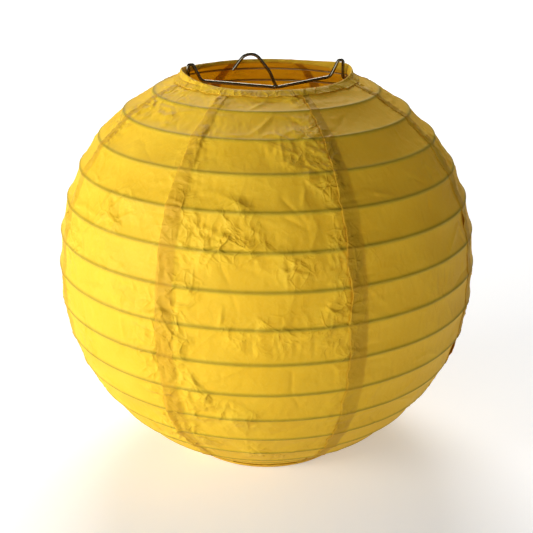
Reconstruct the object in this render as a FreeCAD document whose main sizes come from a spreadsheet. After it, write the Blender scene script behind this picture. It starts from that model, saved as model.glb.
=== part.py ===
"""A round paper lantern: wire hoops inside a shade of glued paper gores, held open by a
bent wire expander that ends in a hanging hook.

Lengths are in millimetres. +Z is up, the origin is on the lantern's axis at the level of
the surface that it stands on, and the expander lies in the XZ plane.
"""
import FreeCAD, Part

import math
import os

from FreeCAD import Vector

document = FreeCAD.newDocument("paper_lantern")
sheet = document.addObject("Spreadsheet::Sheet", "Sizes")

DRIVING_SIZES = {
    # shade
    "shade_width": 200.0,
    "closing_height": 97.0,  # where the shade's outline would meet its axis, from the middle
    "upper_power": 2.3,  # of the outline: 2 is an ellipse, and more is squarer
    "lower_power": 2.04,
    "ring_spacing": 184.0,  # from the bottom ring's plane to the top ring's plane
    "eighth_rib_arc": -9.07,  # along the outline from the middle to the first rib below it
    "band_length": 15.68,  # paper from one rib to the next, before the growth
    "band_growth": 0.08,
    "rib_count": 14,
    # wires
    "rib_wire": 0.8,
    "ring_wire": 1.8,
    "ring_radius": 39.5,  # to the middle of the wire
    "expander_wire": 1.5,
    # paper
    "paper_thickness": 0.2,
    "glue_gap": 0.05,
    "rib_clearance": 0.2,
    "paper_start": 2.0,  # from the ring's centre, along the first band
    "gore_count": 8,
    "wide_gore_angle": 48.0,  # the two widest gores, side by side
    "first_gore_angle": 236.85,  # where the first gore's own sheet starts, from +X
    "lap_angle": 4.5,  # the strip of each gore that is glued over the one before it
    "step_angle": 0.3,  # where a gore climbs on to the one before it
    "joint_angle": 0.06,  # gap between the edges of two gores
    # folded paper binding on each ring
    "binding_thickness": 0.35,
    "binding_gap": 0.05,
    "hem_length": 5.0,
    "wrap_end_angle": 260.0,  # where the paper stops under the ring, from outwards
    # expander, from its middle line
    "leg_offset": 36.5,
    "crest_width": 2.2,
    "crest_rise": 6.2,  # above the ring's plane
    "spur_reach": 41.0,
    "spur_drop": 2.3,  # from the ring's plane to the strand under it
    "spur_width": 2.2,
    "arm_outer": 30.4,
    "arm_outer_drop": 1.5,
    "hook_foot": 4.8,
    "hook_foot_drop": 5.7,
    "bar_drop": 0.1,  # bottom bar, inwards of the bottom ring's plane
    "tight_bend": 1.0,
    "hook_bend": 5.4,
    "weld_radius": 1.15,
}
WIDE_GORES = 2
OUTLINE_STEPS = 4000  # steps from the middle to the closing height, to measure length


def fill_sheet(sizes, first_row=1):
    """Write each size into the sheet, with its name as the cell's alias."""
    for row, (name, value) in enumerate(sizes.items(), first_row):
        sheet.set(f"A{row}", name)
        sheet.set(f"B{row}", f"{value:.6g}")
        sheet.setAlias(f"B{row}", name)
    document.recompute()
    return first_row + len(sizes)


next_row = fill_sheet(DRIVING_SIZES)


def size(name):
    return float(sheet.get(name))


def bind(item, property_name, expression):
    item.setExpression(property_name, expression)


# ---------------------------------------------------------------- the shade's outline


def outline_radius(height):
    """Outside radius of the shade at a height from its middle: two half superellipses, the
    upper one fuller than the lower."""
    power = size("upper_power") if height > 0 else size("lower_power")
    share = abs(height) / size("closing_height")
    return size("shade_width") / 2 * (1 - share**power) ** (1 / power)


def surface_point(height, depth):
    """The point that lies `depth` inside the outline, as (radius, height)."""
    step = 0.01
    run = outline_radius(height + step) - outline_radius(height - step)
    length = math.hypot(run, 2 * step)
    outward = (2 * step / length, -run / length)
    return outline_radius(height) - depth * outward[0], height - depth * outward[1]


def height_at(arc):
    """Height from the middle of the point this far along the outline; down is negative."""
    step = math.copysign(size("closing_height") / OUTLINE_STEPS, arc)
    height, walked = 0.0, 0.0
    while walked < abs(arc):
        run = outline_radius(height + step) - outline_radius(height)
        walked += math.hypot(run, step)
        height += step
    return height


def rib_heights():
    """Heights of the ribs from the middle, top first. The bands between them are nearly
    equal, and a little longer towards the top."""
    heights = []
    half = int(size("rib_count") / 2)
    for place in range(half, -half, -1):
        arc = size("band_length") * place + size("band_growth") * place**2
        heights.append(height_at(size("eighth_rib_arc") + arc))
    return heights


ring_height = size("ring_spacing") / 2
rib_depth = size("paper_thickness") + size("rib_clearance") + size("rib_wire") / 2
ring_cover = size("ring_wire") / 2 + size("binding_gap") + size("binding_thickness")
middle_height = ring_cover + ring_height

derived_sizes = {"ring_cover": ring_cover, "middle_height": middle_height}
for number, height in enumerate(rib_heights(), 1):
    radius, level = surface_point(height, rib_depth)
    derived_sizes[f"rib_{number:02d}_radius"] = radius
    derived_sizes[f"rib_{number:02d}_level"] = level
fill_sheet(derived_sizes, next_row)


def end_band(rib, side):
    """Direction and outward normal of the band between a ring and the rib next to it, which
    runs straight. Both ends are described as if they were at the top."""
    level = side * size(f"{rib}_level")
    run = Vector(size(f"{rib}_radius") - size("ring_radius"), 0, level - ring_height)
    along = run / run.Length
    return along, Vector(-along.z, 0, along.x)


TOP_BAND = end_band("rib_01", 1)
BOTTOM_BAND = end_band(f"rib_{int(size('rib_count')):02d}", -1)


def paper_end(band, depth):
    """Where a paper surface starts beside the top ring."""
    along, normal = band
    ring = Vector(size("ring_radius"), 0, ring_height)
    return ring + along * size("paper_start") - normal * depth


def shade_line(depth):
    """Points of one paper surface from the top ring to the bottom ring, in the XZ plane."""
    points = [paper_end(TOP_BAND, depth)]
    for height in rib_heights():
        radius, level = surface_point(height, depth)
        points.append(Vector(radius, 0, level))
    last = paper_end(BOTTOM_BAND, depth)
    points.append(Vector(last.x, 0, -last.z))
    return points


def raised(points):
    """Move points measured from the shade's middle up to the model's own frame."""
    return [point + Vector(0, 0, middle_height) for point in points]


def paper_face(outer_depth, inner_depth):
    """Cross-section of a paper layer between two depths."""
    points = raised(shade_line(outer_depth) + shade_line(inner_depth)[::-1])
    return Part.Face(Part.makePolygon(points + points[:1]))


def add_shape(name, shape):
    item = document.addObject("Part::Feature", name)
    item.Shape = shape
    return item


def add_turned(name, source, angle):
    """Turn a cross-section about the lantern's axis; `angle` is an expression."""
    turned = document.addObject("Part::Revolution", name)
    turned.Source = source
    turned.Axis = Vector(0, 0, 1)
    turned.Base = Vector(0, 0, 0)
    turned.Solid = True
    bind(turned, "Angle", angle)
    return turned


subparts = []


def add_subpart(item, label):
    item.Label = label
    subparts.append(item)
    return item


# ---------------------------------------------------------------- hoops


def add_hoop(label, radius, wire, level):
    """A closed hoop of round wire; the three sizes are expressions."""
    hoop = document.addObject("Part::Torus", label)
    bind(hoop, "Radius1", radius)
    bind(hoop, "Radius2", f"{wire} / 2")
    bind(hoop, "Placement.Base.z", level)
    return add_subpart(hoop, label)


for label, sign in (("top_ring", "+"), ("bottom_ring", "-")):
    level = f"Sizes.middle_height {sign} Sizes.ring_spacing / 2"
    add_hoop(label, "Sizes.ring_radius", "Sizes.ring_wire", level)

for number in range(1, int(size("rib_count")) + 1):
    name = f"rib_{number:02d}"
    level = f"Sizes.middle_height + Sizes.{name}_level"
    add_hoop(name, f"Sizes.{name}_radius", "Sizes.rib_wire", level)


# ---------------------------------------------------------------- bindings on the rings


def at_angle(centre, radius, degrees):
    turn = math.radians(degrees)
    return centre + Vector(math.cos(turn) * radius, 0, math.sin(turn) * radius)


def binding_face(band):
    """Cross-section of the strip of paper that is folded over the top ring: wrapped round
    the wire from underneath, over the top, and down the outside of the next band."""
    band_along, band_normal = band
    centre = Vector(size("ring_radius"), 0, ring_height)
    outer = size("ring_wire") / 2 + size("binding_gap") + size("binding_thickness")
    inner = outer - size("binding_thickness")
    hem = band_along * size("hem_length")
    start = math.degrees(math.atan2(band_normal.z, band_normal.x))
    end = size("wrap_end_angle")
    middle = (start + end) / 2

    def arc(radius):
        turns = (start, middle, end)
        return Part.Arc(*raised([at_angle(centre, radius, turn) for turn in turns])).toShape()

    def line(first, last):
        return Part.LineSegment(*raised([first, last])).toShape()

    outer_start, outer_end = (at_angle(centre, outer, turn) for turn in (start, end))
    inner_start, inner_end = (at_angle(centre, inner, turn) for turn in (start, end))
    edges = [
        arc(outer),
        line(outer_end, inner_end),
        arc(inner),
        line(inner_start, inner_start + hem),
        line(inner_start + hem, outer_start + hem),
        line(outer_start + hem, outer_start),
    ]
    return Part.Face(Part.Wire(Part.__sortEdges__(edges)))


top_section = add_shape("top_binding_section", binding_face(TOP_BAND))
top_binding = add_turned("top_rim_binding", top_section, "360")
add_subpart(top_binding, "top_rim_binding")

bottom_section = add_shape("bottom_binding_section", binding_face(BOTTOM_BAND))
upturned_binding = add_turned("upturned_binding", bottom_section, "360")

bottom_binding = document.addObject("Part::Mirroring", "bottom_rim_binding")
bottom_binding.Source = upturned_binding
bottom_binding.Normal = Vector(0, 0, 1)
bind(bottom_binding, "Base.z", "Sizes.middle_height")
add_subpart(bottom_binding, "bottom_rim_binding")


# ---------------------------------------------------------------- paper gores

layer = size("paper_thickness")
lap_rise = layer + size("glue_gap")
sheet_section = add_shape("sheet_section", paper_face(0, layer))
step_section = add_shape("step_section", paper_face(-lap_rise, layer))
lap_section = add_shape("lap_section", paper_face(-lap_rise, -size("glue_gap")))

WIDE = "Sizes.wide_gore_angle"
NARROW = f"(360 - {WIDE_GORES} * Sizes.wide_gore_angle) / (Sizes.gore_count - {WIDE_GORES})"

for number in range(1, int(size("gore_count")) + 1):
    label = f"paper_gore_{number}"
    wide = number <= WIDE_GORES
    width = WIDE if wide else NARROW
    before = (
        f"{number - 1} * {WIDE}"
        if wide
        else f"{WIDE_GORES} * {WIDE} + {number - 1 - WIDE_GORES} * {NARROW}"
    )
    body = add_turned(f"{label}_sheet", sheet_section, f"{width} - Sizes.joint_angle")
    step = add_turned(f"{label}_step", step_section, "Sizes.step_angle")
    lap = add_turned(f"{label}_lap", lap_section, "Sizes.lap_angle + Sizes.step_angle")
    lap.Placement.Rotation.Axis = Vector(0, 0, 1)
    bind(lap, "Placement.Rotation.Angle", "-Sizes.lap_angle")
    gore = document.addObject("Part::MultiFuse", label)
    gore.Shapes = [body, step, lap]
    gore.Refine = True
    bind(gore, "Placement.Rotation.Angle", f"Sizes.first_gore_angle + {before}")
    add_subpart(gore, label)


# ---------------------------------------------------------------- expander


def rounded_wire(corners):
    """A wire of straight runs joined by tangent arcs. A corner is (x, height, radius)."""
    points = raised([Vector(x, 0, height) for x, height, _ in corners])
    edges = []
    start = points[0]
    for index in range(1, len(points) - 1):
        corner, radius = points[index], corners[index][2]
        back = (points[index - 1] - corner).normalize()
        ahead = (points[index + 1] - corner).normalize()
        half = back.getAngle(ahead) / 2
        reach = radius / math.tan(half)
        centre = corner + (back + ahead).normalize() * (radius / math.sin(half))
        nearest = centre + (corner - centre).normalize() * radius
        first, last = corner + back * reach, corner + ahead * reach
        edges.append(Part.LineSegment(start, first).toShape())
        edges.append(Part.Arc(first, nearest, last).toShape())
        start = last
    edges.append(Part.LineSegment(start, points[-1]).toShape())
    return Part.Wire(edges)


def side_corners():
    """The right-hand side of the expander, from its arm down to the bottom bar."""
    leg, tight = size("leg_offset"), size("tight_bend")
    crest = ring_height + size("crest_rise")
    crest_radius = size("crest_width") / 2 - 0.01
    spur_radius = size("spur_width") / 2 - 0.01
    upper = ring_height - size("spur_drop")
    lower = upper - size("spur_width")
    arm_height = ring_height - size("arm_outer_drop")
    spur = [
        (leg, upper, tight),
        (size("spur_reach"), upper, spur_radius),
        (size("spur_reach"), lower, spur_radius),
        (leg, lower, tight),
    ]
    return [
        (size("arm_outer"), arm_height, 3.0),
        (leg - size("crest_width"), crest, crest_radius),
        (leg, crest, crest_radius),
        *spur,
        *[(x, -height, radius) for x, height, radius in reversed(spur)],
        (leg, -ring_height + size("bar_drop"), tight),
    ]


def expander_corners():
    """The whole bent wire: hook, right side, bottom bar, left side and back to the hook."""
    right = side_corners()
    left = [(-x, height, radius) for x, height, radius in reversed(right)]
    foot, foot_height = size("hook_foot"), ring_height - size("hook_foot_drop")
    hook = [
        (-15.8, foot_height + 8.8, 0),
        (-7.5, foot_height + 19.3, size("hook_bend")),
        (1.4, foot_height + 7.6, 8.0),
        (foot, foot_height, 1.6),
    ]
    return [*hook, *right, *left, (foot - 1.4, foot_height + 0.2, 0)]


expander_path = add_shape("expander_path", rounded_wire(expander_corners()))
expander_end = document.addObject("Part::Circle", "expander_wire_end")
bind(expander_end, "Radius", "Sizes.expander_wire / 2")
first_edge = expander_path.Shape.Edges[0]
expander_end.Placement = FreeCAD.Placement(
    first_edge.Vertexes[0].Point,
    FreeCAD.Rotation(Vector(0, 0, 1), first_edge.tangentAt(first_edge.FirstParameter)),
)
bent_wire = document.addObject("Part::Sweep", "expander_bent_wire")
bent_wire.Sections = [expander_end]
bent_wire.Spine = (
    expander_path,
    [f"Edge{number}" for number in range(1, len(expander_path.Shape.Edges) + 1)],
)
bent_wire.Solid = True
bent_wire.Frenet = False

weld = document.addObject("Part::Sphere", "expander_weld")
bind(weld, "Radius", "Sizes.weld_radius")
bind(weld, "Placement.Base.x", "Sizes.hook_foot - 0.7")
bind(
    weld,
    "Placement.Base.z",
    "Sizes.middle_height + Sizes.ring_spacing / 2 - Sizes.hook_foot_drop + 0.4",
)
expander = document.addObject("Part::MultiFuse", "expander")
expander.Shapes = [bent_wire, weld]
add_subpart(expander, "expander")


# ---------------------------------------------------------------- check and write

document.recompute()

for item in document.Objects:
    if "Invalid" in item.State or "Error" in item.State:
        raise RuntimeError(f"{item.Label} failed: {item.State}")

os.makedirs("parts", exist_ok=True)
for item in subparts:
    shape = item.Shape
    if shape.isNull() or not shape.isValid() or len(shape.Solids) != 1:
        raise RuntimeError(f"{item.Label} is not one valid solid")
    shape.exportStep(f"parts/{item.Label}.step")
    box = shape.BoundBox
    print(
        f"{item.Label}: {shape.Volume:.1f} mm3, "
        f"z {box.ZMin:.2f} to {box.ZMax:.2f}, x {box.XMin:.2f} to {box.XMax:.2f}"
    )

wire_volume = math.pi * (size("expander_wire") / 2) ** 2 * expander_path.Shape.Length
print(f"expander wire: {expander_path.Shape.Length:.1f} mm long, {wire_volume:.1f} mm3")
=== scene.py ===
"""A round yellow paper lantern on a pale floor: crumpled paper gores over wire hoops, with
a bent wire expander. Lengths in the helpers are in millimetres, and Blender's are metres."""
import math

import bpy
import numpy as np
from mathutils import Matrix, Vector


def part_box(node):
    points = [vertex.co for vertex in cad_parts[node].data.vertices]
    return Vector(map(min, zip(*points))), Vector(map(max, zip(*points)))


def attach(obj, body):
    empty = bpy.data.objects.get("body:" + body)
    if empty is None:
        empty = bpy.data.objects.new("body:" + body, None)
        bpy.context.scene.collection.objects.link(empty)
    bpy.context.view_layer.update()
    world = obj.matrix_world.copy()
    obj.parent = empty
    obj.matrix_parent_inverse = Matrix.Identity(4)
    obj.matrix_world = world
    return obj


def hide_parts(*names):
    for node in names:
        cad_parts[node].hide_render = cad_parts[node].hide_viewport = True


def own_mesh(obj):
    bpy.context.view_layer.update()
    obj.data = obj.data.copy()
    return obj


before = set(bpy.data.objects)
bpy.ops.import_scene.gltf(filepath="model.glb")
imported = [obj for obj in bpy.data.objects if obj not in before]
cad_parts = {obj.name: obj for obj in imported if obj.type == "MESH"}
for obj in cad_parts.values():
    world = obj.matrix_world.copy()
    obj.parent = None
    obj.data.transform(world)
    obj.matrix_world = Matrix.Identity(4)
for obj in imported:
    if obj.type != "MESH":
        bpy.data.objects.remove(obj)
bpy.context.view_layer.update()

MM = 0.001

# ---------------------------------------------------------------- sizes from the frame


def node_box(name):
    low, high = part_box(name)
    return np.array(low) / MM, np.array(high) / MM


def hoop_of(name):
    """Radius to the wire's middle, height and wire radius of a hoop node."""
    low, high = node_box(name)
    wire = (high[2] - low[2]) / 2
    return (high[0] - low[0]) / 2 - wire, (high[2] + low[2]) / 2, wire


RIB_NAMES = sorted(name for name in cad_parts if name.startswith("rib_"))
GORE_NAMES = sorted(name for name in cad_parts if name.startswith("paper_gore_"))
HOOPS = [hoop_of(name) for name in ["top_ring", *RIB_NAMES, "bottom_ring"]]
RING_RADIUS, TOP_RING_HEIGHT, RING_WIRE = HOOPS[0]
BOTTOM_RING_HEIGHT = HOOPS[-1][1]
MIDDLE_HEIGHT = (TOP_RING_HEIGHT + BOTTOM_RING_HEIGHT) / 2

# ---------------------------------------------------------------- the paper's own sizes

PAPER = 0.18  # thickness of one layer
WIRE_GAP = 0.06  # between a rib and the paper over it
STEEP_GAP = 0.35  # more of the same, where the shade is upright
LAYER_RISE = PAPER + 0.1  # from one layer's face to the next one's in a lap
LAP_ANGLE = 4.5
WIDE_GORE = 48.0  # the angle of a wide gore, and how many there are
WIDE_GORES = 2
FIRST_GORE_ANGLE = 236.85
SHADE_RADIUS = 100.0  # at the widest place
GLUE_AND_SHADOW_WIDTH = 0.75  # of the line along each hoop, to either side: a raised ridge, glue stain and painted wire shadow
CREASES = 950  # short folds, at least this many
PAPER_START = 2.0  # from a ring's middle to the gores' edge, along the first band
GRAIN = 0.7  # spacing of the mesh points
RANDOM_SEED = 20
RIM_GAP = 0.05  # between a ring and the hem that leaves it
# from the wire's middle to the wrap's outer face, and to the middle of the hem's start
WRAP_RADIUS = RING_WIRE + RIM_GAP + PAPER / 2
RIM_COLUMNS = 520
RIM_ANGLES = np.linspace(0, 360, RIM_COLUMNS + 1)[None, :]
# where the rims read their noise, on a circle about as wide as a ring
RIM_X = 40 * np.cos(np.radians(RIM_ANGLES))
RIM_Y = 40 * np.sin(np.radians(RIM_ANGLES))
HEM_DEPTH = 3.6  # from a ring to the hem's edge, before it wanders
EAR_ANGLE = 0.0  # the expander lies in the XZ plane, with an ear at each end
BUNCH_RISE = 2.8  # how far the wrap stands up where it is bunched round the ears
# how crumpled each gore is, from 0 to 1
GORE_CRUMPLE = (1.0, 0.3, 0.75, 0.45, 0.9, 0.5, 0.85, 0.75)
# where a lap's free edge stands off most: height from the middle, reach, and rise
LIFTED_EDGES = {1: (-46.0, 10.0, 1.5), 2: (26.0, 16.0, 0.8), 6: (10.0, 14.0, 0.9)}


def gore_angles():
    """Where each gore's own sheet starts, and its width, in degrees from +X."""
    narrow = (360 - WIDE_GORES * WIDE_GORE) / (len(GORE_NAMES) - WIDE_GORES)
    start, found = FIRST_GORE_ANGLE, []
    for number in range(len(GORE_NAMES)):
        width = WIDE_GORE if number < WIDE_GORES else narrow
        found.append((start, width))
        start += width
    return found


# ---------------------------------------------------------------- smooth random fields


class Noise:
    """Gradient noise in three directions, from a seeded table."""

    def __init__(self, seed):
        generator = np.random.RandomState(seed)
        self.order = np.tile(generator.permutation(256), 2)
        slopes = generator.normal(size=(256, 3))
        self.slopes = slopes / np.linalg.norm(slopes, axis=1)[:, None]

    def __call__(self, x, y, z):
        cell = [np.floor(v).astype(int) for v in (x, y, z)]
        part = [v - c for v, c in zip((x, y, z), cell)]
        fade = [p * p * p * (p * (p * 6 - 15) + 10) for p in part]
        total = 0.0
        for corner in np.ndindex(2, 2, 2):
            i, j, k = ((c + d) & 255 for c, d in zip(cell, corner))
            pick = self.order[self.order[self.order[i] + j] + k]
            slope = self.slopes[pick]
            offset = [p - d for p, d in zip(part, corner)]
            value = sum(slope[..., n] * offset[n] for n in range(3))
            weight = 1.0
            for f, d in zip(fade, corner):
                weight = weight * (f if d else 1 - f)
            total = total + weight * value
        return total


def ramp(value, low, high):
    """0 below low, 1 above high, smooth between."""
    share = np.clip((value - low) / (high - low), 0, 1)
    return share * share * (3 - 2 * share)


# ---------------------------------------------------------------- the shade's skeleton


def end_band(flip):
    """Direction and outward normal of the band beside a ring, as (radius, height) and as if
    it were at the top. flip is 1 for the top ring and -1 for the bottom one."""
    ring, rib = (HOOPS[0], HOOPS[1]) if flip > 0 else (HOOPS[-1], HOOPS[-2])
    along = np.array([rib[0] - ring[0], (rib[1] - ring[1]) * flip])
    along /= np.linalg.norm(along)
    return along, np.array([-along[1], along[0]])


def skeleton():
    """Rows of paper from the top ring to the bottom ring: for each one its radius, height,
    outward normal, place in its band from 0 to 1, band length and distance to a hoop."""
    centres = np.array([(radius, height) for radius, height, _ in HOOPS])
    runs = np.gradient(centres, axis=0)
    runs /= np.linalg.norm(runs, axis=1)[:, None]
    normals = np.stack([-runs[:, 1], runs[:, 0]], axis=1)
    touch = []
    for centre, normal, (_, _, wire) in zip(centres, normals, HOOPS):
        # where the shade is steep the paper stands further off, to leave the wire more
        # room when the lantern is folded flat
        gap = WIRE_GAP + STEEP_GAP * normal[0] ** 8
        touch.append(centre + normal * (wire + gap + PAPER / 2))
    for end, flip in ((0, 1), (-1, -1)):
        along, normal = end_band(flip)
        normals[end] = normal * (1, flip)
        touch[end] = centres[end] + along * (1, flip) * PAPER_START
    rows = []
    walked = 0.0
    for band in range(len(touch) - 1):
        first, last = touch[band], touch[band + 1]
        length = np.linalg.norm(last - first)
        steps = max(6, int(round(length / GRAIN)))
        even = np.arange(steps + (band == len(touch) - 2)) / steps
        # closer together beside the hoops, where the paper bends most
        place = even - 0.45 * np.sin(2 * math.pi * even) / (2 * math.pi)
        for share in place:
            middle = first * (1 - share) + last * share
            normal = normals[band] * (1 - share) + normals[band + 1] * share
            normal /= np.linalg.norm(normal)
            near = min(share, 1 - share) * length
            rows.append((*middle, *normal, share, length, near, walked + share * length))
        walked += length
    return np.array(rows).T


ROW_R, ROW_Z, ROW_NR, ROW_NZ, ROW_T, ROW_BAND, ROW_NEAR, ROW_S = skeleton()
SLOPE_LENGTH = ROW_S[-1]
COLUMNS = 1024  # of the field, all the way round
FIELD_ANGLES = np.arange(COLUMNS) * 360 / COLUMNS


def seam_distance(angles):
    """Distance in degrees from each angle to the nearest lap's middle."""
    middles = np.array([start - LAP_ANGLE / 2 for start, _ in gore_angles()])
    apart = (angles[:, None] - middles[None, :] + 180) % 360 - 180
    return np.abs(apart).min(axis=1)


def gore_crumple():
    """How crumpled the paper is at each column, blended over the laps."""
    weight = np.zeros(COLUMNS)
    for crumple, (start, width) in zip(GORE_CRUMPLE, gore_angles()):
        past = (FIELD_ANGLES - start + 7) % 360
        share = ramp(past, 0, 8) * (1 - ramp(past, width, width + 8))
        weight += share * crumple
    return weight


# the ways a crease runs, in degrees from level, and the share of each
HEADINGS = (0, 90, 45, -45, 15, -15)
HEADING_SHARES = (0.34, 0.2, 0.1, 0.1, 0.13, 0.13)


def crease_strokes(generator, crumple):
    """Random creases: chains of short straight folds, most where the paper is crumpled."""
    strokes = []
    while len(strokes) < CREASES:
        column = generator.randint(COLUMNS)
        row = generator.randint(len(ROW_S))
        if generator.rand() > 0.12 + 0.88 * crumple[row, column]:
            continue
        heading = generator.choice(HEADINGS, p=HEADING_SHARES)
        heading = math.radians(heading + generator.normal(0, 12))
        point = np.array([0.0, ROW_S[row]])
        angle = FIELD_ANGLES[column]
        height = generator.uniform(0.22, 0.8)
        if generator.rand() < 0.3:
            height = -height * 0.8
        width = generator.uniform(0.55, 1.0)
        for _ in range(generator.randint(1, 4)):
            length = generator.uniform(4, 15)
            step = np.array([math.cos(heading), math.sin(heading)]) * length
            strokes.append((angle, point.copy(), point + step, height, width))
            point = point + step
            heading += math.radians(generator.normal(0, 40))
            height *= generator.uniform(0.6, 1.0)
    return strokes


def add_strokes(field, strokes):
    """Press each stroke into the height field."""
    column_angle = 360 / COLUMNS
    for angle, first, last, height, width in strokes:
        reach = 4 * width
        low, high = sorted((first[1], last[1]))
        rows = np.flatnonzero((ROW_S > low - reach) & (ROW_S < high + reach))
        if not len(rows):
            continue
        radius = ROW_R[rows].mean()
        per_column = math.radians(column_angle) * radius
        start = math.floor((min(first[0], last[0]) - reach) / per_column)
        stop = math.ceil((max(first[0], last[0]) + reach) / per_column)
        offsets = np.arange(start, stop + 1)
        columns = (offsets + int(round(angle / column_angle))) % COLUMNS
        across = offsets[None, :] * per_column
        down = ROW_S[rows][:, None]
        run = last - first
        length = np.linalg.norm(run)
        unit = run / length
        along = (across - first[0]) * unit[0] + (down - first[1]) * unit[1]
        aside = (across - first[0]) * unit[1] - (down - first[1]) * unit[0]
        past = np.clip(np.maximum(-along, along - length), 0, None)
        taper = 0.45 + 0.55 * np.sin(math.pi * np.clip(along / length, 0, 1))
        profile = np.exp(-np.hypot(aside, past * 1.6) / width) * taper
        field[np.ix_(rows, columns)] += height * profile


def paper_field():
    """Height of the crumpled paper over its rows and columns, and how crumpled it is."""
    angles = np.radians(FIELD_ANGLES)[None, :]
    x = ROW_R[:, None] * np.cos(angles)
    y = ROW_R[:, None] * np.sin(angles)
    z = np.broadcast_to(ROW_Z[:, None], x.shape)
    s = np.broadcast_to(ROW_S[:, None], x.shape)
    near = ROW_NEAR[:, None]
    coarse, fine, third, fourth = (Noise(RANDOM_SEED + k) for k in range(4))
    patches = ramp(coarse(x / 34 + 7, y / 34, z / 30), -0.12, 0.3)
    beside_lap = np.exp(-(seam_distance(FIELD_ANGLES) / 7) ** 2)[None, :]
    crumple = np.clip(0.8 * patches + 0.5 * beside_lap, 0, 1) * gore_crumple()[None, :]
    free = 1 - np.exp(-((near / 2.6) ** 2))

    sag = 0.65 + 0.5 * coarse(x / 22, y / 22, s / 60)
    arch = 1 - (2 * ROW_T[:, None] - 1) ** 2
    height = -sag * arch * np.clip(ROW_BAND[:, None] / 16, 0, 1)
    height += 0.2 * np.exp(-((near / GLUE_AND_SHADOW_WIDTH) ** 2))
    height += 0.45 * free * fine(x / 17, y / 17, z / 17)
    # folds that run up and down each band, from the paper's spare width
    pleat = third(x / 3.4, y / 3.4, s / 13) + 0.5 * third(x / 1.9 + 3, y / 1.9, s / 9)
    height += free * (0.16 + 0.55 * crumple) * (0.35 - np.abs(pleat)) * 1.3
    # flat creases pulled sideways beside the laps
    pull = fourth(x / 26, y / 26, s / 2.3)
    height += free * 0.8 * beside_lap * (0.3 - np.abs(pull))
    # crushed facets
    wander = 2.2 * coarse(x / 9, y / 9, z / 9 + 5)
    facets = np.abs(fine(x / 7.5 + wander, y / 7.5, z / 7.5)) * 0.55
    facets += np.abs(third(x / 4.0, y / 4.0 + wander, z / 4.0)) * 0.28
    height += free * crumple * (0.25 - facets) * 2.2

    pressed = np.zeros_like(height)
    add_strokes(pressed, crease_strokes(np.random.RandomState(RANDOM_SEED), crumple))
    height += pressed * (0.35 + 0.65 * free)

    from_end = np.minimum(s, SLOPE_LENGTH - s)
    height *= ramp(from_end, 1.5, 5)
    return height, crumple


FIELD, CRUMPLE = paper_field()


def sampled(field, angles):
    """A field read at other angles (degrees, one row of them or one for each row)."""
    place = np.mod(np.broadcast_to(angles, (len(ROW_S), angles.shape[-1])), 360)
    place = place * COLUMNS / 360
    column = np.floor(place).astype(int)
    share = place - column
    rows = np.arange(len(ROW_S))[:, None]
    left, right = column % COLUMNS, (column + 1) % COLUMNS
    return field[rows, left] * (1 - share) + field[rows, right] * share


# ---------------------------------------------------------------- mesh helpers


def grid_solid(name, outer, inner, values):
    """A closed thin solid between two grids of points (rows, columns, 3) in millimetres.
    values is a dict of named number grids, kept as attributes on both faces. The inner
    face takes the second material."""
    rows, columns = outer.shape[:2]
    points = np.concatenate([outer.reshape(-1, 3), inner.reshape(-1, 3)]) * MM
    count = rows * columns
    index = np.arange(count).reshape(rows, columns)
    quads = np.stack(
        [index[:-1, :-1], index[1:, :-1], index[1:, 1:], index[:-1, 1:]], axis=-1
    ).reshape(-1, 4)
    rim = np.concatenate(
        [index[0, :], index[1:, -1], index[-1, -2::-1], index[-2:0:-1, 0]]
    )
    ahead = np.roll(rim, -1)
    walls = np.stack([rim, ahead, ahead + count, rim + count], axis=-1)
    faces = np.concatenate([quads, quads[:, ::-1] + count, walls])
    piece = mesh_object(name, points, faces, values, len(walls))
    slots = np.zeros(len(faces), np.int32)
    slots[len(quads):2 * len(quads)] = 1
    piece.data.polygons.foreach_set("material_index", slots)
    return piece


def mesh_object(name, points, faces, values=None, flat_tail=0):
    """An object from points in metres and quads. The last flat_tail faces are flat, and the
    others smooth."""
    mesh = bpy.data.meshes.new(name)
    mesh.vertices.add(len(points))
    mesh.vertices.foreach_set("co", np.ascontiguousarray(points, np.float32).ravel())
    mesh.loops.add(faces.size)
    mesh.loops.foreach_set("vertex_index", np.ascontiguousarray(faces, np.int32).ravel())
    mesh.polygons.add(len(faces))
    starts = np.arange(len(faces), dtype=np.int32) * faces.shape[1]
    mesh.polygons.foreach_set("loop_start", starts)
    shade = np.arange(len(faces)) < len(faces) - flat_tail
    mesh.polygons.foreach_set("use_smooth", shade)
    mesh.update(calc_edges=True)
    mesh.validate()
    for key, grid in (values or {}).items():
        numbers = np.asarray(grid, np.float32).ravel()
        repeats = len(points) // numbers.size
        attribute = mesh.attributes.new(key, "FLOAT", "POINT")
        attribute.data.foreach_set("value", np.tile(numbers, repeats))
    piece = bpy.data.objects.new(name, mesh)
    bpy.context.scene.collection.objects.link(piece)
    return piece


def turned(radius, height, angles):
    """Points (rows, columns, 3) from radii and heights at angles in degrees."""
    turn = np.radians(angles)
    x, y = radius * np.cos(turn), radius * np.sin(turn)
    return np.stack([x, y, np.broadcast_to(height, x.shape)], axis=-1)


# ---------------------------------------------------------------- materials


def colour(red, green, blue):
    """A display colour (0 to 255) as linear numbers."""

    def linear(value):
        value /= 255
        return value / 12.92 if value <= 0.04045 else ((value + 0.055) / 1.055) ** 2.4

    return (linear(red), linear(green), linear(blue), 1.0)


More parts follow.
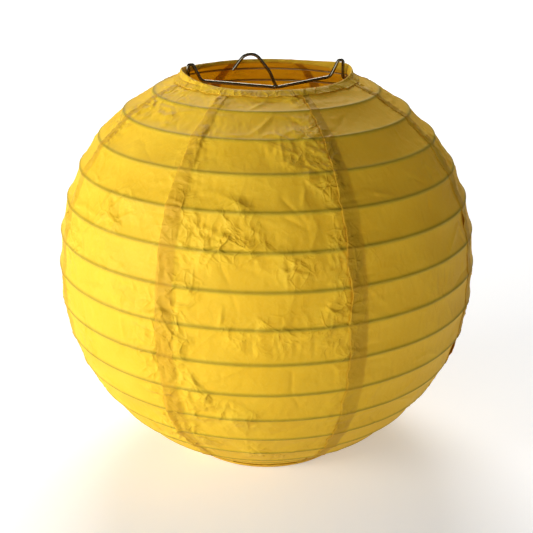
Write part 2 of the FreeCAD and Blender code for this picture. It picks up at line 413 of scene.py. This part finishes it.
class Tree:
    """A material's node tree, built by short calls."""

    def __init__(self, name):
        self.material = bpy.data.materials.new(name)
        self.material.use_nodes = True
        self.nodes = self.material.node_tree.nodes
        self.links = self.material.node_tree.links
        self.surface = self.nodes["Principled BSDF"]
        self.output = self.nodes["Material Output"]
        self.where = self.nodes.new("ShaderNodeTexCoord").outputs["Object"]

    def put(self, socket, value):
        """Link a socket to another one, or set its own value."""
        if isinstance(value, bpy.types.NodeSocket):
            self.links.new(value, socket)
        else:
            socket.default_value = value

    def noise(self, scale, detail=3.0, roughness=0.5):
        node = self.nodes.new("ShaderNodeTexNoise")
        node.inputs["Scale"].default_value = scale
        node.inputs["Detail"].default_value = detail
        node.inputs["Roughness"].default_value = roughness
        self.links.new(self.where, node.inputs["Vector"])
        return node.outputs["Fac"]

    def ridges(self, scale, detail):
        """Sharp branching folds, from 0 in the hollows to about 1 on the folds."""
        node = self.nodes.new("ShaderNodeTexNoise")
        node.noise_type = "RIDGED_MULTIFRACTAL"
        node.inputs["Scale"].default_value = scale
        node.inputs["Detail"].default_value = detail
        node.inputs["Offset"].default_value = 0.9
        node.inputs["Gain"].default_value = 1.6
        node.inputs["Distortion"].default_value = 0.35
        self.links.new(self.where, node.inputs["Vector"])
        return node.outputs["Fac"]

    def cells(self, feature, scale):
        """Distance to the middle or the edge of many-cornered cells with bent sides."""
        bent = self.nodes.new("ShaderNodeTexNoise")
        bent.inputs["Scale"].default_value = scale * 0.8
        self.links.new(self.where, bent.inputs["Vector"])
        shift = self.nodes.new("ShaderNodeVectorMath")
        shift.operation = "SCALE"
        shift.inputs["Scale"].default_value = 0.35 / scale
        self.links.new(bent.outputs["Color"], shift.inputs[0])
        place = self.nodes.new("ShaderNodeVectorMath")
        place.operation = "ADD"
        self.links.new(self.where, place.inputs[0])
        self.links.new(shift.outputs["Vector"], place.inputs[1])
        node = self.nodes.new("ShaderNodeTexVoronoi")
        node.feature = feature
        node.inputs["Scale"].default_value = scale
        self.links.new(place.outputs["Vector"], node.inputs["Vector"])
        return node.outputs["Distance"]

    def attribute(self, name):
        node = self.nodes.new("ShaderNodeAttribute")
        node.attribute_name = name
        return node.outputs["Fac"]

    def between(self, value, low, high, to_low=0.0, to_high=1.0):
        """A value from low to high, smoothly, as one from to_low to to_high."""
        node = self.nodes.new("ShaderNodeMapRange")
        node.interpolation_type = "SMOOTHSTEP"
        self.put(node.inputs["Value"], value)
        numbers = {"From Min": low, "From Max": high, "To Min": to_low, "To Max": to_high}
        for key, number in numbers.items():
            node.inputs[key].default_value = number
        return node.outputs["Result"]

    def maths(self, operation, first, second):
        node = self.nodes.new("ShaderNodeMath")
        node.operation = operation
        self.put(node.inputs[0], first)
        self.put(node.inputs[1], second)
        return node.outputs["Value"]

    def mix(self, share, first, second):
        node = self.nodes.new("ShaderNodeMix")
        node.data_type = "RGBA"
        self.put(node.inputs["Factor"], share)
        sockets = [socket for socket in node.inputs if socket.type == "RGBA"]
        self.put(sockets[0], first)
        self.put(sockets[1], second)
        return next(socket for socket in node.outputs if socket.type == "RGBA")

    def bump(self, height, distance, strength):
        node = self.nodes.new("ShaderNodeBump")
        node.inputs["Distance"].default_value = distance
        node.inputs["Strength"].default_value = strength
        self.links.new(height, node.inputs["Height"])
        return node.outputs["Normal"]


def paper_material(name, through_share, shades, tints):
    """Dyed tissue paper: matt, lets light through, finely fibred, with fine creases. The
    shades are those of its face, and the tints those of the light that comes through."""
    tree = Tree(name)
    blotches = tree.between(tree.noise(55, 4), 0.3, 0.7)
    fibres = tree.noise(900, 4, 0.65)
    front = tree.mix(blotches, *shades)
    front = tree.mix(tree.between(fibres, 0.35, 0.75, 0.0, 0.4), front, colour(252, 222, 80))
    glue_and_wire_shadow = tree.attribute("glue_and_wire_shadow")
    patchy = tree.between(tree.noise(38, 2), 0.35, 0.6, 0.6, 1.0)
    # painted shade on the doubled laps, where less light comes through two layers
    double_shade = tree.maths("MULTIPLY", tree.attribute("double_shade"), patchy)
    # painted shadow of the wire along each hoop, with some glue stain: the face darkened a little
    front = tree.mix(tree.maths("MULTIPLY", glue_and_wire_shadow, 0.35), front, colour(96, 50, 4))
    # painted shade of the doubled laps on the face: darker and more orange
    front = tree.mix(tree.maths("MULTIPLY", double_shade, 0.5), front, colour(216, 154, 24))
    surface = tree.surface
    tree.put(surface.inputs["Base Color"], front)
    surface.inputs["Roughness"].default_value = 0.6
    surface.inputs["Specular IOR Level"].default_value = 0.2
    surface.inputs["Sheen Weight"].default_value = 0.02
    # heights in millimetres, summed for one bump
    crumple = tree.between(tree.attribute("crumple"), 0.1, 0.8, 0.12, 1.0)
    some = tree.between(tree.noise(60, 1), 0.42, 0.6)
    some = tree.maths("MULTIPLY", some, crumple)
    parts = [(fibres, 0.04), (tree.maths("MULTIPLY", tree.ridges(110, 3), crumple), 0.6)]
    for scale, depth in ((70, 1.0), (150, 0.5)):
        facets = tree.cells("F1", scale)
        folds = tree.between(tree.cells("DISTANCE_TO_EDGE", scale), 0.0, 0.1, 0.35, 0.0)
        both = tree.maths("ADD", facets, folds)
        parts.append((tree.maths("MULTIPLY", both, some), depth))
    relief = 0.0
    for part, depth in parts:
        relief = tree.maths("ADD", tree.maths("MULTIPLY", part, depth), relief)
    normal = tree.bump(relief, MM, 1.0)
    tree.put(surface.inputs["Normal"], normal)
    through = tree.nodes.new("ShaderNodeBsdfTranslucent")
    behind = tree.mix(blotches, *tints)
    # painted shadow of the wire in the light that comes through, with some glue stain: the tint
    # darkened strongly
    behind = tree.mix(tree.maths("MULTIPLY", glue_and_wire_shadow, 0.95), behind, colour(40, 22, 2))
    # painted shade of the doubled laps in the light that comes through
    behind = tree.mix(tree.maths("MULTIPLY", double_shade, 0.8), behind, colour(196, 132, 12))
    tree.put(through.inputs["Color"], behind)
    tree.put(through.inputs["Normal"], normal)
    both = tree.nodes.new("ShaderNodeMixShader")
    both.inputs["Fac"].default_value = through_share
    tree.links.new(surface.outputs["BSDF"], both.inputs[1])
    tree.links.new(through.outputs["BSDF"], both.inputs[2])
    tree.links.new(both.outputs["Shader"], tree.output.inputs["Surface"])
    return tree.material


def wire_material(name, base, dark, roughness):
    """Drawn steel wire: streaks along it, duller patches and a few dark specks."""
    tree = Tree(name)
    patches = tree.between(tree.noise(90, 3), 0.45, 0.7)
    specks = tree.between(tree.noise(1400, 2), 0.66, 0.76)
    tone = tree.mix(patches, base, dark)
    tone = tree.mix(tree.maths("MULTIPLY", specks, 0.25), tone, dark)
    tree.put(tree.surface.inputs["Base Color"], tone)
    tree.surface.inputs["Metallic"].default_value = 1.0
    rough = tree.between(tree.noise(260, 3), 0.3, 0.7, roughness, roughness + 0.12)
    tree.put(tree.surface.inputs["Roughness"], rough)
    tree.put(tree.surface.inputs["Normal"], tree.bump(tree.noise(2600, 3), 0.00003, 0.5))
    return tree.material


def use(piece, *materials):
    """Give a piece these materials and no others."""
    piece.data.materials.clear()
    for material in materials:
        piece.data.materials.append(material)
    return piece


# ---------------------------------------------------------------- paper gores


def gore_grid(start, width):
    """Angles of a gore's columns, and how far each is past the gore's own start."""
    lap_columns = max(6, int(round(math.radians(LAP_ANGLE) * SHADE_RADIUS / GRAIN)))
    own = width - LAP_ANGLE
    own_columns = int(round(math.radians(own) * SHADE_RADIUS / GRAIN))
    past = np.concatenate(
        [
            np.linspace(-LAP_ANGLE, 0, lap_columns + 1)[:-1],
            np.linspace(0, own, own_columns + 1)[:-1],
            np.linspace(own, width, lap_columns + 1)[:-1],
        ]
    )
    return start + past, past


def make_gore(name, start, width, number):
    """One gore from ring to ring: its own sheet, and its lap over the gore before it."""
    angles, past = gore_grid(start, width)
    lap_noise = Noise(RANDOM_SEED + 40 + number)
    s = ROW_S[:, None]
    # the lap's free edge was cut by hand, so it wanders
    wander = 1.5 * lap_noise(s / 17, s * 0 + 3.3, s * 0) + 0.7 * lap_noise(s / 4, s * 0, s * 0)
    on_lap = np.clip(-past / LAP_ANGLE, 0, 1)[None, :]
    turned_angles = angles[None, :] + wander * on_lap**2
    height = sampled(FIELD, turned_angles)
    climb = LAYER_RISE * (1 - ramp(past, -0.15, 0.75))[None, :]
    free_edge = ramp(on_lap, 0.55, 1.0)
    lift = ramp(lap_noise(s / 11 + 9, s * 0, s * 0), 0.02, 0.42)
    lift = lift * (1 - np.exp(-((ROW_NEAR[:, None] / 3.0) ** 2)))
    if number in LIFTED_EDGES:
        level, reach, rise = LIFTED_EDGES[number]
        near_lift = np.exp(-(((ROW_Z - MIDDLE_HEIGHT - level) / reach) ** 2))[:, None]
        lift = lift + near_lift * rise
    height = height + climb + free_edge * lift
    face = height + PAPER / 2
    back = height - PAPER / 2
    normal_r, normal_z = ROW_NR[:, None], ROW_NZ[:, None]
    outer, inner = (
        turned(ROW_R[:, None] + normal_r * rise, ROW_Z[:, None] + normal_z * rise, turned_angles)
        for rise in (face, back)
    )
    # glue stain and painted wire shadow along each hoop
    glue_and_wire_shadow = np.exp(-((ROW_NEAR / GLUE_AND_SHADOW_WIDTH) ** 2))[:, None] * np.ones_like(past)[None, :]
    own = width - LAP_ANGLE
    # columns where the paper is doubled over a lap, for painted shade
    doubled_shade = np.maximum(1 - ramp(past, -0.2, 0.3), ramp(past, own - 0.3, own + 0.2))
    double_shade = doubled_shade[None, :] * np.ones_like(glue_and_wire_shadow)
    values = {"glue_and_wire_shadow": glue_and_wire_shadow, "double_shade": double_shade, "crumple": sampled(CRUMPLE, turned_angles)}
    gore = grid_solid(name, outer, inner, values)
    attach(gore, "bottom_rim")
    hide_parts(node_of(name))
    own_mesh(gore)
    return gore


def node_of(name):
    return name.replace("crumpled", "paper")


# ---------------------------------------------------------------- rims


def rim_profile(normal, count):
    """The folded paper round the top ring, from inside under the wire, over it, and down
    its outer side, as offsets (radius, height) from the wire's middle, with its normals,
    and the share of the way to where the hem leaves the ring, up to 1."""
    first, last = math.radians(262), math.radians(-75)
    leaves = math.atan2(normal[1], normal[0])
    turns = np.linspace(first, last, count)
    normals = np.stack([np.cos(turns), np.sin(turns)], axis=-1)
    share = np.clip((first - turns) / (first - leaves), 0, 1)
    return normals * WRAP_RADIUS, normals, share


def closed_band(name, outer, inner):
    """A strip that runs all the way round, with a wall along each edge."""
    rows, columns = outer.shape[:2]
    points = np.concatenate([outer.reshape(-1, 3), inner.reshape(-1, 3)]) * MM
    count = rows * columns
    index = np.arange(count).reshape(rows, columns)
    beside = np.roll(index, -1, axis=1)
    quads = np.stack([index[:-1], index[1:], beside[1:], beside[:-1]], axis=-1).reshape(-1, 4)
    top = np.stack([index[0], beside[0], beside[0] + count, index[0] + count], axis=-1)
    low = np.stack([beside[-1], index[-1], index[-1] + count, beside[-1] + count], axis=-1)
    faces = np.concatenate([quads, quads[:, ::-1] + count, top, low])
    # the folded rim paper: no painted wire shadow, and half of the laps' painted shade
    values = {
        "glue_and_wire_shadow": np.zeros(count),
        "double_shade": np.full(count, 0.5),
        "crumple": np.ones(count),
    }
    return mesh_object(name, points, faces, values, len(top) + len(low))


def rim_piece(name, outer, inner, flip):
    """A closed band from its two faces, each (radii, heights above the ring as if it were
    the top one)."""
    level = TOP_RING_HEIGHT if flip > 0 else BOTTOM_RING_HEIGHT
    faces = [turned(radius, level + flip * rise, RIM_ANGLES) for radius, rise in (outer, inner)]
    if flip < 0:
        faces = [face[::-1] for face in faces]
    piece = closed_band(name, *(face[:, :-1] for face in faces))
    return piece


def make_wrap(name, offsets, normals, puckers, flip, body):
    """The paper folded round a ring, from a profile (rows of offsets from the wire's
    middle). It goes with the ring."""
    radius = RING_RADIUS + offsets[:, 0][:, None] + normals[:, 0][:, None] * puckers
    rise = offsets[:, 1][:, None] + normals[:, 1][:, None] * puckers
    in_radius = radius - normals[:, 0][:, None] * PAPER
    in_rise = rise - normals[:, 1][:, None] * PAPER
    if flip > 0:
        # bunched up round the ears of the expander, which pull on it at both ends
        bunch = BUNCH_RISE * np.abs(np.cos(np.radians(RIM_ANGLES - EAR_ANGLE))) ** 6
        bunch = bunch * np.maximum(normals[:, 1], 0)[:, None] ** 1.5
        rise = rise + bunch
        in_rise = in_rise + bunch
    wrap = rim_piece(name, (radius, rise), (in_radius, in_rise), flip)
    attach(wrap, body)
    return wrap


def make_hem(name, band, normal, noise, flip):
    """The rest of the folded paper, from the ring down the first band to a pressed and
    wandering edge. It lies on the gores and rides on the bottom rim with them."""
    x, y = RIM_X, RIM_Y
    reach = np.linspace(0, 1, 12)[:, None]
    edge = HEM_DEPTH + 1.1 * noise(x / 6, y / 6, x * 0) + 0.7 * noise(x / 2.2, y / 2.2, x * 0 + 2)
    run = 0.05 + reach * edge
    pressed = ramp(run, 0, 3.4)
    clear = WRAP_RADIUS * (1 - pressed) + 0.55 * pressed
    ruffle = 0.55 * np.abs(noise(x / 2.0, y / 2.0, run / 6)) * ramp(run, 0.1, 1.6)
    hem_r = RING_RADIUS + band[0] * run + normal[0] * (clear + ruffle)
    hem_z = band[1] * run + normal[1] * (clear + ruffle)
    half = PAPER / 2
    faces = [(hem_r + normal[0] * side, hem_z + normal[1] * side) for side in (half, -half)]
    hem = rim_piece(name, *faces, flip)
    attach(hem, "bottom_rim")
    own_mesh(hem)
    return hem


def make_rim(place, flip, body, paper):
    """The binding of one ring: its wrap and its hem."""
    noise = Noise(RANDOM_SEED + 70 + (flip > 0))
    x, y = RIM_X, RIM_Y
    band, normal = end_band(flip)
    offsets, normals, share = rim_profile(normal, 34)
    row = share[:, None]
    crush = 0.25 * noise(x / 2.2, y / 2.2, row * 1.6)
    crush = crush + 0.2 * noise(x / 7, y / 7, row * 1.2 + 4)
    puckers = np.abs(crush) * np.sin(math.pi * row) ** 0.5
    wrap = make_wrap(f"{place}_rim_wrap", offsets, normals, puckers, flip, body)
    hem = make_hem(f"{place}_rim_hem", band, normal, noise, flip)
    for piece in (wrap, hem):
        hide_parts(f"{place}_rim_binding")
        use(piece, paper)


# ---------------------------------------------------------------- stage


FLOOR_REACH = 6.0  # metres, as are the lights' places and sizes
LIGHTS = {
    # place, size, and power in watts
    "key": ((-1.09, -0.2, 0.2), (0.5, 0.3), 13),
    "fill": ((-0.7, -1.12, 0.55), (0.7, 0.6), 5.0),
    "back": ((0.2, 1.9, 1.8), (1.4, 1.2), 54),
}


def make_camera():
    """In front and a little to the left, above the lantern and looking down at it."""
    data = bpy.data.cameras.new("camera")
    data.lens = 73.0
    data.sensor_width = 36.0
    camera = bpy.data.objects.new("camera", data)
    bpy.context.scene.collection.objects.link(camera)
    heading, pitch = math.radians(10), math.radians(20.6)
    distance, height = 502.0, MIDDLE_HEIGHT + 185.8
    place = Vector((-math.sin(heading) * distance, -math.cos(heading) * distance, height))
    camera.location = place * MM
    camera.rotation_euler = (math.pi / 2 - pitch, 0, -heading)
    bpy.context.scene.camera = camera


def area_light(name, place, size, power):
    """A soft light aimed at the middle of the lantern."""
    data = bpy.data.lights.new(name, "AREA")
    data.shape = "RECTANGLE"
    data.size, data.size_y = size
    data.energy = power
    light = bpy.data.objects.new(name, data)
    light.location = place
    aim = Vector((0, 0, MIDDLE_HEIGHT * MM)) - Vector(place)
    light.rotation_euler = aim.to_track_quat("-Z", "Y").to_euler()
    bpy.context.scene.collection.objects.link(light)


def make_stage():
    """A pale floor, three soft lights and a dim even surround."""
    floor = mesh_object(
        "floor",
        np.array([(-1, -1, 0), (1, -1, 0), (1, 1, 0), (-1, 1, 0)]) * FLOOR_REACH,
        np.array([[0, 1, 2, 3]]),
        flat_tail=1,
    )
    tree = Tree("pale_floor")
    tone = tree.mix(tree.noise(3, 2), (0.8, 0.8, 0.8, 1), (0.84, 0.84, 0.84, 1))
    tree.put(tree.surface.inputs["Base Color"], tone)
    tree.surface.inputs["Roughness"].default_value = 0.8
    tree.surface.inputs["Emission Color"].default_value = (1, 1, 1, 1)
    tree.surface.inputs["Emission Strength"].default_value = 0.33
    use(floor, tree.material)
    for name, light in LIGHTS.items():
        area_light(name, *light)
    world = bpy.data.worlds.new("studio")
    bpy.context.scene.world = world
    world.use_nodes = True
    background = world.node_tree.nodes["Background"]
    background.inputs["Color"].default_value = (1, 1, 1, 1)
    background.inputs["Strength"].default_value = 0.1
    bpy.context.scene.view_settings.view_transform = "Standard"


# ---------------------------------------------------------------- make it

make_camera()
make_stage()

# the paper's face and the light that comes through it, and both again for the inside, which is
# painted paler than the same paper outside: painted light, for a brighter inside
shades = (colour(246, 206, 42), colour(249, 212, 50))
tints = (colour(242, 208, 54), colour(246, 214, 62))
lightened_inside_shades = (colour(254, 240, 160), colour(255, 243, 176))
lightened_inside_tints = (colour(255, 252, 232), colour(255, 253, 238))
paper = paper_material("yellow_paper", 0.38, shades, tints)
# a paler copy of the same paper for the inner face, as painted light
inside = paper_material("paper_inside_lightened", 0.5, lightened_inside_shades, lightened_inside_tints)
steel = wire_material("rim_steel", colour(150, 148, 142), colour(84, 80, 74), 0.3)
rib_steel = wire_material("rib_steel", colour(190, 172, 124), colour(150, 128, 78), 0.4)
bright = wire_material("expander_steel", colour(122, 116, 98), colour(76, 70, 56), 0.12)

for number, (start, width) in enumerate(gore_angles(), 1):
    use(make_gore(f"crumpled_gore_{number}", start, width, number), paper, inside)
make_rim("top", 1, "top_rim", paper)
make_rim("bottom", -1, "bottom_rim", paper)

for name in ("top_ring", "bottom_ring"):
    use(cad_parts[name], steel)
for name in RIB_NAMES:
    use(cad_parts[name], rib_steel)
use(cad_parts["expander"], bright)
